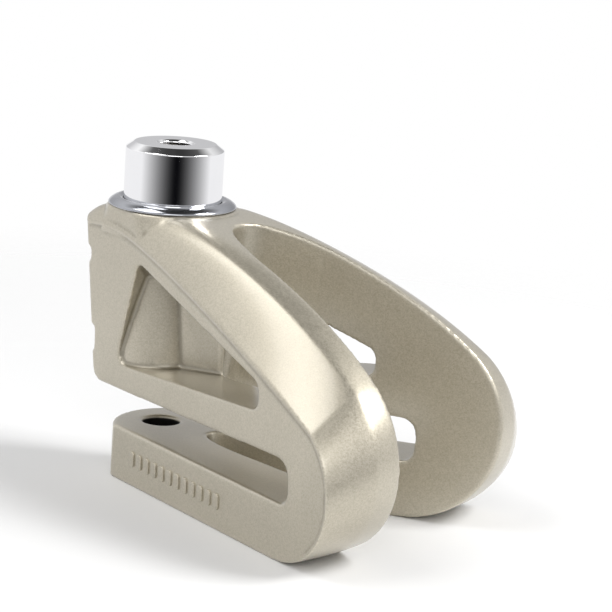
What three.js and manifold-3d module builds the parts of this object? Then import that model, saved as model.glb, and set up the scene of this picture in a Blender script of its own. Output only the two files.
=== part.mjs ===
// Disc brake lock: a V-shaped cast body whose two wings reach over the rim of a brake disc, with a
// push-down key cylinder that drives a steel pin across the disc slot.
// Millimetres. The origin is on the pin axis at the flat underside, +X runs towards the wing noses,
// +Z is up and the body is symmetrical about the XZ plane. The lock is drawn open, cylinder up.
import * as THREE from "three";
import { mergeVertices } from "three/addons/utils/BufferGeometryUtils.js";
import Module from "manifold-3d";

// ---- Driving dimensions ----------------------------------------------------------------------

// Body seen from above: a blunt wedge, |y| = HALF_WIDTH + SIDE_SPREAD x + SIDE_LEAN z.
const HALF_WIDTH = 10.2;
const SIDE_SPREAD = 0.332;
const SIDE_LEAN = 0.036;
const BODY_HEIGHT = 51.2; // flat land under the collar
const BACK_FACE_X = -11.9; // back face at the slot roof
const BACK_FACE_LEAN = 0.11; // how far the back face leans out for each millimetre up
const BACK_CORNER_Y = 6.75;
const BACK_CORNER_RADIUS = 2.2;
const BACK_GROOVE_DEPTH = 1.2;
const UPPER_GROOVE_HEIGHT = 2.5;
const LOWER_GROOVE_HEIGHT = 4.6;
const BACK_HEEL_RADIUS = 3; // of the back face's lower edge, above the slot

// Body seen from the side: the inner edge of the rim and the crease where it meets the flat side.
const NOSE_X = 46;
const NOSE_RADIUS = 17.9;
const CREASE_NOSE_X = 45;
const CREASE_NOSE_RADIUS = 13.9;
const NOSE_TOP_ANGLE = THREE.MathUtils.degToRad(50);
const CREASE_DROP = 3.9; // how far the crease lies below the land beside the collar
const BACK_EDGE_DROP = 5.1; // how far the rounded back edge of the land falls
// The rim across the wing, in shares of the half width: level, a soft ridge, then down to the crease.
const INNER_EDGE = 0.47;
const RIDGE = 0.68;
const RIDGE_FALL = 0.13; // share of the whole fall that is reached at the ridge
const COLLAR_RIM_START = 0.5;
const BACK_RIM_POWER = 5; // how square the rim is at the back
const COLLAR_RIM_POWER = 2.2; // and beside the collar
const BOSS_SHARE = 0.97; // of the half width that the boss under the collar takes

// Disc slot, jaw and the gap between the wings.
const JAW_THICKNESS = 10.3;
const JAW_TIP_RADIUS = 11.6;
const JAW_TIP_X = -8.2;
const SLOT_HEIGHT = 7.4;
const SLOT_END_X = 48.2;
const SLOT_ROOF_RISE = 0.018; // the roof rises a little towards the noses
const GAP_APEX_X = 10.4; // at the underside
const GAP_APEX_LEAN = 0.108;
const GAP_HALF_WIDTH = 0.22;
const GAP_SPREAD = 0.231;
const GAP_LEAN = 0.065;
const GAP_BEND_X = 28; // past here the gap's walls are flat

// Triangular window through each wing, beside the barrel and its web.
const WINDOW_FLOOR_ABOVE_ROOF = 4.2;
const WINDOW_BELOW_LAND = 8.9;
const WINDOW_END_X = 39.3;
const WEB_HALF_THICKNESS = 5;
const BARREL_TOP_RADIUS = 8;
const BARREL_FOOT_RADIUS = 9.5;

// Cylinder, plunger and locking pin.
const CYLINDER_RADIUS = 9;
const CYLINDER_HEIGHT = 11.2;
const CYLINDER_CHAMFER = 1.1;
const CYLINDER_FOOT_LIFT = 0.3; // above the land when open
const STEM_RADIUS = 5.8;
const PIN_RADIUS = 3;
const PIN_LIFT = 0.5; // pin tip above the slot roof when open
const PIN_REACH = 2.3; // pin tip below the jaw's top when locked
const JAW_HOLE_RADIUS = 3.5;
const JAW_HOLE_FLOOR = 4;
const KEY_RADIUS = 3;
const COLLAR_WIDTH = 2.9; // beyond the cylinder
const COLLAR_HEIGHT = 1.4;
const LINER_WALL = 1;

// Disc-detainer core.
const CORE_RADIUS = 4.6;
const CORE_WALL = 0.55;
const DISC_COUNT = 7;
const DISC_THICKNESS_SHARE = 0.7; // of one disc and its spacer
const BOLT_HEIGHT = 1.8;
const BASE_HEIGHT = 4.4; // of the plunger's base, under the bolt, at the least
const BOLT_STROKE = 1;

// Clearances.
const RUNNING = 0.1; // between sliding or turning surfaces
const SEATED = 0.05; // between fixed pieces
const ROUND = 40; // facets of a full circle
const SMALL_ROUND = 24;

// ---- Derived sizes -----------------------------------------------------------------------------

const slotRoof = JAW_THICKNESS + SLOT_HEIGHT;
const collarRadius = CYLINDER_RADIUS + COLLAR_WIDTH;
const boreFloor = slotRoof + WINDOW_FLOOR_ABOVE_ROOF + 0.1;
const travel = PIN_LIFT + SLOT_HEIGHT + PIN_REACH;
const pocketFloor = BODY_HEIGHT + CYLINDER_FOOT_LIFT - travel;
const pinTip = slotRoof + PIN_LIFT;
const springSeatHeight = 0.5;
const springSolidLength = 4.4;
const stemFoot = boreFloor + springSeatHeight + springSolidLength + travel;
const cylinderFoot = pocketFloor + travel + RUNNING;
const cylinderTop = cylinderFoot + CYLINDER_HEIGHT;
const linerBore = STEM_RADIUS + RUNNING;
const linerRadius = linerBore + LINER_WALL;
const coreBore = CORE_RADIUS + RUNNING;
const boltFoot = Math.max(pocketFloor + 0.2, stemFoot + BASE_HEIGHT);
const boltTop = boltFoot + BOLT_HEIGHT;
const tailFoot = boltTop + RUNNING;
const coreFoot = tailFoot + 1.6;
const coreTop = cylinderTop - 1.4;
const screwRadius = 1.7;
const guideScrewZ = pocketFloor - screwRadius - 0.4;
const linerScrewZ = boreFloor + 3;

const wasm = await Module();
wasm.setup();

// ---- Making solids -----------------------------------------------------------------------------

// A closed geometry as a solid for joining and cutting.
function solid(geometry) {
  const bare = geometry.clone();
  bare.deleteAttribute("normal");
  bare.deleteAttribute("uv");
  const merged = mergeVertices(bare, 1e-4);
  return new wasm.Manifold(
    new wasm.Mesh({
      numProp: 3,
      vertProperties: new Float32Array(merged.attributes.position.array),
      triVerts: new Uint32Array(merged.index.array),
    }),
  );
}

function geometryOf(made) {
  const mesh = made.getMesh();
  const geometry = new THREE.BufferGeometry();
  geometry.setAttribute("position", new THREE.BufferAttribute(mesh.vertProperties, 3));
  geometry.setIndex(new THREE.BufferAttribute(mesh.triVerts, 1));
  return geometry;
}

// The first solid with every other one taken away.
function cut(base, ...tools) {
  return tools.reduce((left, tool) => left.subtract(tool), base);
}

// A solid of revolution about Z from a profile of [radius, z] points, outer side going up.
function turned(profile, segments = ROUND) {
  const points = profile.map(([r, z]) => new THREE.Vector2(r, z));
  if (profile[0][0] > 0) points.push(points[0].clone());
  return solid(new THREE.LatheGeometry(points, segments).rotateX(Math.PI / 2));
}

function disc(radius, z0, z1, segments = ROUND) {
  return turned([[0, z0], [radius, z0], [radius, z1], [0, z1]], segments);
}

function ring(inner, outer, z0, z1, segments = ROUND) {
  return turned([[inner, z0], [outer, z0], [outer, z1], [inner, z1]], segments);
}

// A cylinder along X at height z.
function crossRod(radius, x0, x1, z, segments = 20) {
  const rod = new THREE.CylinderGeometry(radius, radius, x1 - x0, segments);
  return solid(rod.rotateZ(Math.PI / 2).translate((x0 + x1) / 2, 0, z));
}

function block(x0, x1, y0, y1, z0, z1) {
  const box = new THREE.BoxGeometry(x1 - x0, y1 - y0, z1 - z0);
  return solid(box.translate((x0 + x1) / 2, (y0 + y1) / 2, (z0 + z1) / 2));
}

// An anticlockwise outline of [u, v, corner radius] points.
function roundedShape(corners) {
  const shape = new THREE.Shape();
  corners.forEach(([u, v, r = 0], i) => {
    const corner = new THREE.Vector2(u, v);
    const [before, after] = [i + corners.length - 1, i + 1].map((k) => {
      const [a, b] = corners[k % corners.length];
      return new THREE.Vector2(a, b).sub(corner).normalize();
    });
    const reach = r / Math.tan(Math.acos(THREE.MathUtils.clamp(before.dot(after), -1, 1)) / 2);
    const start = before.multiplyScalar(reach).add(corner);
    const end = after.multiplyScalar(reach).add(corner);
    if (i === 0) shape.moveTo(start.x, start.y);
    else shape.lineTo(start.x, start.y);
    if (r > 0) shape.quadraticCurveTo(u, v, end.x, end.y);
  });
  return shape;
}

// A side view outline (x, z) pushed through the body from -reach to +reach in y.
function throughBody(shape, reach = 60) {
  const made = new THREE.ExtrudeGeometry(shape, {
    depth: 2 * reach,
    bevelEnabled: false,
    curveSegments: 6,
  });
  return solid(made.rotateX(Math.PI / 2).translate(0, reach, 0));
}

// A plan outline (x, y) between two heights, its x moved by lean for each millimetre up from z0.
function upright(shape, z0, z1, lean = 0, curveSegments = 6) {
  const made = new THREE.ExtrudeGeometry(shape, {
    depth: z1 - z0,
    bevelEnabled: false,
    curveSegments,
  });
  const shear = new THREE.Matrix4().makeShear(0, 0, 0, 0, lean, 0);
  return solid(made.applyMatrix4(shear).translate(0, 0, z0));
}

// A skin over rings of equal count. Each ring runs anticlockwise seen from the first ring's side.
function loft(rings) {
  const count = rings[0].length;
  const last = (rings.length - 1) * count;
  const flat = rings[0].map((p) => p.flat);
  const triangles = THREE.ShapeUtils.triangulateShape(flat, []).flatMap(([a, b, c]) => [
    [a, b, c],
    [last + c, last + b, last + a],
  ]);
  for (let i = 0; i < rings.length - 1; i++) {
    for (let j = 0; j < count; j++) {
      const [a, b] = [i * count + j, i * count + ((j + 1) % count)];
      triangles.push([a, a + count, b], [b, a + count, b + count]);
    }
  }
  const geometry = new THREE.BufferGeometry();
  const points = rings.flat().map((p) => p.place);
  geometry.setFromPoints(points);
  geometry.setIndex(triangles.flat());
  return solid(geometry);
}

// ---- Lock body ---------------------------------------------------------------------------------

const BEHIND = -24; // past the back face
const BEYOND = 85; // past the noses
const halfWidth = (x, z) => HALF_WIDTH + SIDE_SPREAD * x + SIDE_LEAN * z;

// The side view: along the underside, round the nose, back over the top and down the back edge.
function sideOutline(noseX, noseRadius, tangent, middle, shoulder, land) {
  const path = new THREE.Path();
  path.moveTo(BEHIND, 0);
  path.lineTo(noseX, 0);
  path.absarc(noseX, noseRadius, noseRadius, -Math.PI / 2, NOSE_TOP_ANGLE, false);
  path.bezierCurveTo(...tangent, ...middle, ...shoulder);
  path.lineTo(-6, land);
  path.quadraticCurveTo(-13, land, -17, BODY_HEIGHT - BACK_EDGE_DROP);
  path.lineTo(BEHIND, BODY_HEIGHT - BACK_EDGE_DROP);
  return path.getPoints(8);
}

// How far the rim has fallen to the crease at v of the half width: squarer beside the collar.
function rimFall(v, x) {
  const level = Math.min(1, Math.max(0, (v - INNER_EDGE) / (RIDGE - INNER_EDGE)));
  const slope = Math.max(0, (v - RIDGE) / (1 - RIDGE));
  const ridged = RIDGE_FALL * level ** 1.6 + (1 - RIDGE_FALL) * slope ** 1.1;
  const { lerp, smoothstep } = THREE.MathUtils;
  const power = lerp(BACK_RIM_POWER, COLLAR_RIM_POWER, smoothstep(x, -12, 0));
  const square = Math.max(0, (v - COLLAR_RIM_START) / (1 - COLLAR_RIM_START)) ** power;
  return lerp(square, ridged, smoothstep(x, 0, 34));
}

function outerSkin() {
  const noseTop = [
    NOSE_X + NOSE_RADIUS * Math.cos(NOSE_TOP_ANGLE),
    NOSE_RADIUS * (1 + Math.sin(NOSE_TOP_ANGLE)),
  ];
  const inner = sideOutline(
    NOSE_X,
    NOSE_RADIUS,
    [noseTop[0] - 12.3, noseTop[1] + 10.3],
    [23, BODY_HEIGHT - 1.8],
    [10, BODY_HEIGHT - 0.1],
    BODY_HEIGHT,
  );
  const crease = sideOutline(
    CREASE_NOSE_X,
    CREASE_NOSE_RADIUS,
    [CREASE_NOSE_X - 15.5, BODY_HEIGHT - 14.4],
    [6, BODY_HEIGHT - CREASE_DROP - 1.6],
    [-4, BODY_HEIGHT - CREASE_DROP - 0.2],
    BODY_HEIGHT - CREASE_DROP,
  );
  const half = [1, 0.92, 0.84, 0.76, RIDGE, 0.58, INNER_EDGE];
  const across = [...half.map((v) => -v), 0, ...half.toReversed()];
  const rings = across.map((v) =>
    inner.map((p, i) => {
      const flat = p.clone().lerp(crease[i], rimFall(Math.abs(v), p.x));
      const place = new THREE.Vector3(flat.x, v * halfWidth(flat.x, flat.y), flat.y);
      return { flat, place };
    }),
  );
  return loft(rings);
}

// What the wedge is trimmed to at the back: a leaning face above the slot, a round tip below it.
function backTrim() {
  const split = JAW_THICKNESS + SLOT_HEIGHT / 2;
  const spread = SIDE_SPREAD + 0.02;
  const faceX = BACK_FACE_X + BACK_FACE_LEAN * (slotRoof - split);
  const wide = BACK_CORNER_Y + spread * (BEYOND - faceX);
  const upper = roundedShape([
    [BEYOND, -wide],
    [BEYOND, wide],
    [faceX, BACK_CORNER_Y, BACK_CORNER_RADIUS],
    [faceX, -BACK_CORNER_Y, BACK_CORNER_RADIUS],
  ]);
  const tipCentre = JAW_TIP_X + JAW_TIP_RADIUS;
  const tipAngle = THREE.MathUtils.degToRad(126);
  const tipX = tipCentre + JAW_TIP_RADIUS * Math.cos(tipAngle);
  const tipY = JAW_TIP_RADIUS * Math.sin(tipAngle);
  const jawWide = tipY + spread * (BEYOND - tipX);
  const jaw = new THREE.Shape();
  jaw.moveTo(BEYOND, -jawWide);
  jaw.lineTo(BEYOND, jawWide);
  jaw.lineTo(tipX, tipY);
  jaw.absarc(tipCentre, 0, JAW_TIP_RADIUS, tipAngle, 2 * Math.PI - tipAngle, false);
  const above = upright(upper, split, BODY_HEIGHT + 5, -BACK_FACE_LEAN);
  return above.add(upright(jaw, -1, split, 0, 14));
}

// The boss that carries the collar, kept inside the rim.
function collarBoss() {
  const foot = BODY_HEIGHT - 5;
  const cone = disc(collarRadius, foot, BODY_HEIGHT);
  const corners = [[-14, foot - 1], [14, foot - 1], [14, BODY_HEIGHT + 1], [-14, BODY_HEIGHT + 1]];
  const rings = [-1, 1].map((side) =>
    corners.map(([x, z]) => ({
      flat: new THREE.Vector2(x, z),
      place: new THREE.Vector3(x, side * BOSS_SHARE * halfWidth(x, z), z),
    })),
  );
  return cone.intersect(loft(rings));
}

const slotRoofAt = (x) => slotRoof + SLOT_ROOF_RISE * (x - NOSE_X / 2);

function discSlot() {
  return throughBody(
    roundedShape([
      [BEHIND - 5, JAW_THICKNESS],
      [SLOT_END_X, JAW_THICKNESS, 2.5],
      [SLOT_END_X, slotRoofAt(SLOT_END_X), 3.5],
      [BEHIND - 5, slotRoofAt(BEHIND - 5)],
    ]),
  );
}

// The gap between the wings: a rounded apex that opens to two flat walls.
function wingGap() {
  const level = (z) => {
    const wall = (x) => GAP_HALF_WIDTH + GAP_SPREAD * x + GAP_LEAN * z;
    const apex = GAP_APEX_X + GAP_APEX_LEAN * z;
    const path = new THREE.Path();
    path.moveTo(BEYOND, -wall(BEYOND));
    path.lineTo(BEYOND, wall(BEYOND));
    path.lineTo(GAP_BEND_X, wall(GAP_BEND_X));
    path.bezierCurveTo(apex + 7, wall(GAP_BEND_X) - 2, apex, wall(GAP_BEND_X) - 4.5, apex, 0);
    path.bezierCurveTo(
      apex,
      4.5 - wall(GAP_BEND_X),
      apex + 7,
      2 - wall(GAP_BEND_X),
      GAP_BEND_X,
      -wall(GAP_BEND_X),
    );
    return path.getPoints(9).slice(0, -1).map((flat) => ({
      flat,
      place: new THREE.Vector3(flat.x, flat.y, z),
    }));
  };
  return loft([level(BODY_HEIGHT + 6), level(-4)]);
}

// The triangular opening through both wings, less the barrel and the web behind it.
function windows() {
  const floor = slotRoof + WINDOW_FLOOR_ABOVE_ROOF;
  const top = BODY_HEIGHT - WINDOW_BELOW_LAND;
  const opening = throughBody(
    roundedShape([
      [-4.1, floor, 2.6],
      [WINDOW_END_X, floor + 2.7, 2.4],
      [WINDOW_END_X, floor + 7.4, 2.4],
      [2.4, top, 1.7],
    ]),
  );
  const shoulder = pocketFloor - 2;
  const barrel = turned([
    [0, floor - 5],
    [BARREL_FOOT_RADIUS + 0.3, floor - 5],
    [BARREL_TOP_RADIUS, shoulder],
    [CYLINDER_RADIUS + 1.8, shoulder + 2.4],
    [CYLINDER_RADIUS + 1.8, top + 5],
    [0, top + 5],
  ]);
  const web = block(0, GAP_APEX_X + 8, -WEB_HALF_THICKNESS, WEB_HALF_THICKNESS, floor - 5, top + 5);
  return cut(opening, barrel, web);
}

// A shallow groove across the back face.
function backGroove(z, height) {
  const face = BACK_FACE_X - BACK_FACE_LEAN * (z - slotRoof);
  const half = height / 2;
  return throughBody(
    roundedShape([
      [face - 6, z - half - 1],
      [face + BACK_GROOVE_DEPTH, z - half, 0.8],
      [face + BACK_GROOVE_DEPTH, z + half, 0.8],
      [face - 6, z + half + 1],
    ]),
    20,
  );
}

// What is rounded off the back face's lower edge.
function backHeel() {
  const roof = slotRoofAt(BACK_FACE_X);
  const [x, z] = [BACK_FACE_X + BACK_HEEL_RADIUS, roof + BACK_HEEL_RADIUS];
  const shape = new THREE.Shape();
  shape.moveTo(BEHIND, roof - 1);
  shape.lineTo(x, roof - 1);
  shape.lineTo(x, roof);
  shape.absarc(x, z, BACK_HEEL_RADIUS, -Math.PI / 2, -Math.PI, true);
  shape.lineTo(BEHIND, z);
  return throughBody(shape, 20);
}

const dogRadius = 0.8;

function lockBody() {
  const bore = turned([
    [0, boreFloor],
    [linerRadius + SEATED, boreFloor],
    [linerRadius + SEATED, pocketFloor],
    [CYLINDER_RADIUS + RUNNING, pocketFloor],
    [CYLINDER_RADIUS + RUNNING, collarFoot - SEATED],
    [collarSpigotRadius + SEATED, collarFoot - SEATED],
    [collarSpigotRadius + SEATED, BODY_HEIGHT + 8],
    [0, BODY_HEIGHT + 8],
  ]);
  return cut(
    outerSkin().intersect(backTrim()).add(collarBoss()),
    discSlot(),
    wingGap(),
    windows(),
    bore,
    disc(PIN_RADIUS + 0.15, slotRoof - 2, boreFloor + 1),
    disc(JAW_HOLE_RADIUS, JAW_HOLE_FLOOR, JAW_THICKNESS + 1),
    backGroove(guideScrewZ + 1.5, UPPER_GROOVE_HEIGHT),
    backGroove(linerScrewZ, LOWER_GROOVE_HEIGHT),
    backHeel(),
    crossRod(screwRadius + SEATED, BEHIND, -linerRadius + 0.5, guideScrewZ),
    crossRod(screwRadius + SEATED, BEHIND, -linerRadius + 0.5, linerScrewZ),
  );
}

// ---- Collar, seal and liner --------------------------------------------------------------------

const collarFoot = BODY_HEIGHT - 3.6;
const collarSpigotRadius = CYLINDER_RADIUS + 1.2;
const sealSection = 0.5;
const sealZ = BODY_HEIGHT + 0.65;
const sealRadius = CYLINDER_RADIUS + RUNNING + sealSection;

function collarRing() {
  const top = BODY_HEIGHT + COLLAR_HEIGHT;
  const inner = CYLINDER_RADIUS + RUNNING;
  const edge = new THREE.Path();
  edge.moveTo(collarRadius - 0.3, BODY_HEIGHT + SEATED);
  edge.quadraticCurveTo(collarRadius + 0.3, BODY_HEIGHT + 0.2, collarRadius - 0.4, BODY_HEIGHT + 0.7);
  edge.quadraticCurveTo(collarRadius - 1.4, top - 0.1, inner + 0.4, top);
  const profile = [
    [inner, collarFoot],
    [collarSpigotRadius, collarFoot],
    [collarSpigotRadius, BODY_HEIGHT + SEATED],
    ...edge.getPoints(4).map((p) => p.toArray()),
    [inner, top - 0.4],
  ];
  const half = sealSection + SEATED;
  const groove = ring(inner - 1, sealRadius + half, sealZ - half, sealZ + half);
  return cut(turned(profile), groove);
}

function wiperSeal() {
  return solid(new THREE.TorusGeometry(sealRadius, sealSection, 8, ROUND).translate(0, 0, sealZ));
}

// The steel sleeve that the stem slides in, with a window that the bolt locks into.
function barrelLiner() {
  const foot = boreFloor + springSeatHeight + SEATED;
  const window = block(
    0, linerRadius + 1,
    -boltTipHalfWidth - 0.3, boltTipHalfWidth + 0.3,
    boltFoot - travel - 0.25, boltTop - travel + 0.25,
  );
  return cut(
    ring(linerBore, linerRadius, foot, pocketFloor - SEATED),
    window,
    crossRod(dogRadius + RUNNING, -linerRadius - 1, 0, guideScrewZ),
    crossRod(dogRadius + RUNNING, -linerRadius - 1, 0, linerScrewZ),
  );
}

// A set screw in the back of the body, with a hexagon socket and a dog point.
function setScrew(z, dogTip) {
  const face = BACK_FACE_X - BACK_FACE_LEAN * (z - slotRoof) + BACK_GROOVE_DEPTH;
  const head = face + 0.3;
  const shoulder = -linerRadius - 0.2;
  const socket = new THREE.CylinderGeometry(0.95, 0.95, 3.6, 6).rotateZ(Math.PI / 2);
  return cut(
    crossRod(screwRadius, head, shoulder, z, 24).add(crossRod(dogRadius, shoulder - 1, dogTip, z)),
    solid(socket.translate(head, 0, z)),
  );
}

// ---- Spring and its seat -----------------------------------------------------------------------

const springWire = 0.5;
const springTurns = 6;
const springRadius = (PIN_RADIUS + linerBore) / 2;

class Helix extends THREE.Curve {
  constructor(radius, turns, z0, z1) {
    super();
    Object.assign(this, { radius, turns, z0, z1 });
  }
  getPoint(t, target = new THREE.Vector3()) {
    const angle = 2 * Math.PI * this.turns * t;
    const z = THREE.MathUtils.lerp(this.z0, this.z1, t);
    return target.set(this.radius * Math.cos(angle), this.radius * Math.sin(angle), z);
  }
}

function springSeat() {
  const top = boreFloor + springSeatHeight;
  return ring(PIN_RADIUS + 0.3, linerBore - 0.1, boreFloor, top, SMALL_ROUND);
}

function returnSpring() {
  const wire = new THREE.Shape().absarc(0, 0, springWire, 0, 2 * Math.PI, false);
  const foot = boreFloor + springSeatHeight + springWire + 0.1;
  const path = new Helix(springRadius, springTurns, foot, stemFoot - springWire - 0.1);
  return solid(
    new THREE.ExtrudeGeometry(wire, {
      steps: springTurns * 14,
      extrudePath: path,
      bevelEnabled: false,
      curveSegments: 3,
    }),
  );
}

// ---- Plunger: shell, base, pins ------------------------------------------------------------------

const boltTipHalfWidth = 1.4;
const baseTop = boltFoot - RUNNING;
const crossPinRadius = 0.6;
const crossPinZ = stemFoot + 1.4;

// A rod along Y through the stem, where the base's cross pin runs clear of the guide screw.
function pinRod(radius, reach) {
  return crossRod(radius, -reach, reach, crossPinZ, 12).rotate([0, 0, 90]);
}

function plungerShell() {
  const body = turned(
    [
      [coreBore, stemFoot],
      [STEM_RADIUS, stemFoot],
      [STEM_RADIUS, cylinderFoot],
      [CYLINDER_RADIUS - 0.4, cylinderFoot],
      [CYLINDER_RADIUS, cylinderFoot + 0.4],
      [CYLINDER_RADIUS, cylinderTop - CYLINDER_CHAMFER],
      [CYLINDER_RADIUS - 1.5, cylinderTop],
      [KEY_RADIUS + 0.5, cylinderTop],
      [KEY_RADIUS + 0.1, cylinderTop - 0.4],
      [KEY_RADIUS + 0.1, coreTop + SEATED],
      [coreBore, coreTop + SEATED],
    ],
    56,
  );
  const guide = block(
    -STEM_RADIUS - 1, -coreBore - 0.4,
    -dogRadius - 0.15, dogRadius + 0.15,
    guideScrewZ - dogRadius - 0.3, guideScrewZ + travel + dogRadius + 0.3,
  );
  const boltWindow = block(
    0, STEM_RADIUS + 1,
    -boltTipHalfWidth - RUNNING, boltTipHalfWidth + RUNNING,
    boltFoot - 0.08, boltTop + RUNNING,
  );
  return cut(body, guide, boltWindow, pinRod(crossPinRadius + SEATED, STEM_RADIUS + 1));
}

function plungerBase() {
  return cut(
    disc(coreBore - SEATED, stemFoot, baseTop),
    disc(PIN_RADIUS + SEATED, stemFoot - 1, stemFoot + 2.8),
    pinRod(crossPinRadius + SEATED, STEM_RADIUS + 1),
  );
}

function lockingPin() {
  const body = turned([
    [0, pinTip],
    [PIN_RADIUS - 0.8, pinTip],
    [PIN_RADIUS, pinTip + 0.8],
    [PIN_RADIUS, stemFoot + 2.7],
    [0, stemFoot + 2.7],
  ]);
  return cut(body, pinRod(crossPinRadius + SEATED, STEM_RADIUS));
}

function baseCrossPin() {
  return pinRod(crossPinRadius, STEM_RADIUS - 0.2);
}

// ---- Core: barrel, tail, bolt, discs and spacers ---------------------------------------------------

const camRadius = 0.7;
const discRadius = CORE_RADIUS - CORE_WALL - SEATED;
const gateHalfWidth = 0.6;
const sidebarInner = discRadius - 0.6;
const stackFoot = coreFoot + SEATED;
const stackTop = coreTop - 1.5;
const stackPitch = (stackTop - stackFoot) / DISC_COUNT;

// The half-round hole that the key turns in, wide side towards the angle.
function keyhole(z0, z1, angle, radius) {
  const round = disc(radius, z0, z1, SMALL_ROUND);
  const flat = block(-radius - 1, radius + 1, radius * 0.35, radius + 1, z0 - 1, z1 + 1);
  return cut(round, flat).rotate([0, 0, THREE.MathUtils.radToDeg(angle)]);
}

function coreBarrel() {
  const tube = turned([
    [0, stackTop + SEATED],
    [discRadius + SEATED, stackTop + SEATED],
    [discRadius + SEATED, coreFoot],
    [CORE_RADIUS, coreFoot],
    [CORE_RADIUS, coreTop],
    [0, coreTop],
  ]);
  const slot = block(
    -gateHalfWidth, gateHalfWidth,
    sidebarInner, CORE_RADIUS + 1,
    stackFoot, stackTop,
  );
  return cut(tube, slot, keyhole(stackTop - 1, coreTop + 1, 0, KEY_RADIUS));
}

function coreTail() {
  const cam = disc(camRadius, boltFoot + 0.2, tailFoot + 0.5, 16);
  return disc(CORE_RADIUS, tailFoot, coreFoot - SEATED, 40).add(cam.translate([0, BOLT_STROKE, 0]));
}

function sidebar() {
  return block(
    -gateHalfWidth + RUNNING, gateHalfWidth - RUNNING,
    sidebarInner + RUNNING, CORE_RADIUS - 0.15,
    stackFoot + 0.3, stackTop - 0.3,
  );
}

// A sliding bolt in the stem: the core's cam works in its slot and pushes its tip out along +X.
function lockingBolt() {
  const plan = roundedShape([
    [-2.6, -2.4],
    [2.4, -2.4],
    [2.4, -boltTipHalfWidth],
    [STEM_RADIUS - 0.25, -boltTipHalfWidth],
    [STEM_RADIUS - 0.25, boltTipHalfWidth],
    [2.4, boltTipHalfWidth],
    [2.4, 2.4],
    [-2.6, 2.4],
  ]);
  const side = camRadius + 0.35;
  const slot = block(-side, side, -side, BOLT_STROKE + side, boltFoot + 0.1, boltTop + 1);
  return cut(upright(plan, boltFoot, boltTop), slot);
}

function gate(z0, z1) {
  return block(-gateHalfWidth, gateHalfWidth, sidebarInner, CORE_RADIUS, z0 - 1, z1 + 1);
}

function detainerDisc(index) {
  const z0 = stackFoot + index * stackPitch;
  const z1 = z0 + DISC_THICKNESS_SHARE * stackPitch;
  const code = THREE.MathUtils.degToRad(((index * 5) % 7) * 15 - 45);
  return cut(
    disc(discRadius, z0, z1, SMALL_ROUND),
    keyhole(z0 - 1, z1 + 1, code, KEY_RADIUS + RUNNING),
    gate(z0, z1),
  );
}

function discSpacer(index) {
  const z0 = stackFoot + (index + DISC_THICKNESS_SHARE) * stackPitch + 0.02;
  const z1 = stackFoot + (index + 1) * stackPitch - 0.02;
  return cut(ring(KEY_RADIUS + RUNNING, discRadius, z0, z1, SMALL_ROUND), gate(z0, z1));
}

// ---- Materials and assembly ----------------------------------------------------------------------

function finish(color, roughness, metalness) {
  return new THREE.MeshStandardMaterial({ color, roughness, metalness });
}

const champagne = () => finish(0xb9b19b, 0.4, 0.6);
const chrome = () => finish(0xdfe2e6, 0.08, 1);
const steel = () => finish(0xa7aaae, 0.35, 1);
const blackSteel = () => finish(0x35363a, 0.5, 0.9);
const brass = () => finish(0xb99a55, 0.35, 1);
const rubber = () => finish(0x1c1c1d, 0.8, 0);

const lock = new THREE.Group();

function add(name, made, material, group = lock) {
  const mesh = new THREE.Mesh(geometryOf(made), material);
  mesh.name = name;
  group.add(mesh);
}

add("lock_body", lockBody(), champagne());
add("collar_ring", collarRing(), chrome());
add("wiper_seal", wiperSeal(), rubber());
add("barrel_liner", barrelLiner(), steel());
add("guide_screw", setScrew(guideScrewZ, -coreBore - 0.5), blackSteel());
add("liner_screw", setScrew(linerScrewZ, -linerBore - 0.1), blackSteel());
add("spring_seat", springSeat(), steel());
add("return_spring", returnSpring(), steel());

const plunger = new THREE.Group();
lock.add(plunger);
add("plunger_shell", plungerShell(), chrome(), plunger);
add("plunger_base", plungerBase(), steel(), plunger);
add("base_cross_pin", baseCrossPin(), steel(), plunger);
add("locking_pin", lockingPin(), steel(), plunger);
add("locking_bolt", lockingBolt(), steel(), plunger);

const core = new THREE.Group();
plunger.add(core);
add("core_barrel", coreBarrel(), brass(), core);
add("core_tail", coreTail(), steel(), core);
add("sidebar", sidebar(), steel(), core);
for (let i = 0; i < DISC_COUNT; i++) {
  add("detainer_disc_" + (i + 1), detainerDisc(i), brass(), core);
}
for (let i = 0; i < DISC_COUNT - 1; i++) {
  add("disc_spacer_" + (i + 1), discSpacer(i), steel(), core);
}

export default lock;
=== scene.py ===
# A disc brake lock: a champagne-painted cast body with two windowed wings, and a chromed key cylinder
# that is pushed down to drive its locking pin across the disc slot.
import math

import bmesh
import bpy
from mathutils import Matrix, Vector


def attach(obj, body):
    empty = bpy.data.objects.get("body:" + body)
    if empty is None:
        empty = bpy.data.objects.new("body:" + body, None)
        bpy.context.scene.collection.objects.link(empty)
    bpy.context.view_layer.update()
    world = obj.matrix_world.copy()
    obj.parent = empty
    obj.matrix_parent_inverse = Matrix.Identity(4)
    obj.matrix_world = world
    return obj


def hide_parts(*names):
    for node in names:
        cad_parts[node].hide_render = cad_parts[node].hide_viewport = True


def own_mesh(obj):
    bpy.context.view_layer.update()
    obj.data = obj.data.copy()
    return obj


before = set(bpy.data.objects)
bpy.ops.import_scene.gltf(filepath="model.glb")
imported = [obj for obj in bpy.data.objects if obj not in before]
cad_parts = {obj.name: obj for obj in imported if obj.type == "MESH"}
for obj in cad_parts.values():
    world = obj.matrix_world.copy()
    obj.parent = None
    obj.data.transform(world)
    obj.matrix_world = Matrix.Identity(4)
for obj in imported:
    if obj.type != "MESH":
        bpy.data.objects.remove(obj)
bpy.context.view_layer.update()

# ---- Camera ------------------------------------------------------------------------------------
# A long lens from the front right of the lock, a little above it, held with a slight tilt.

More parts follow.
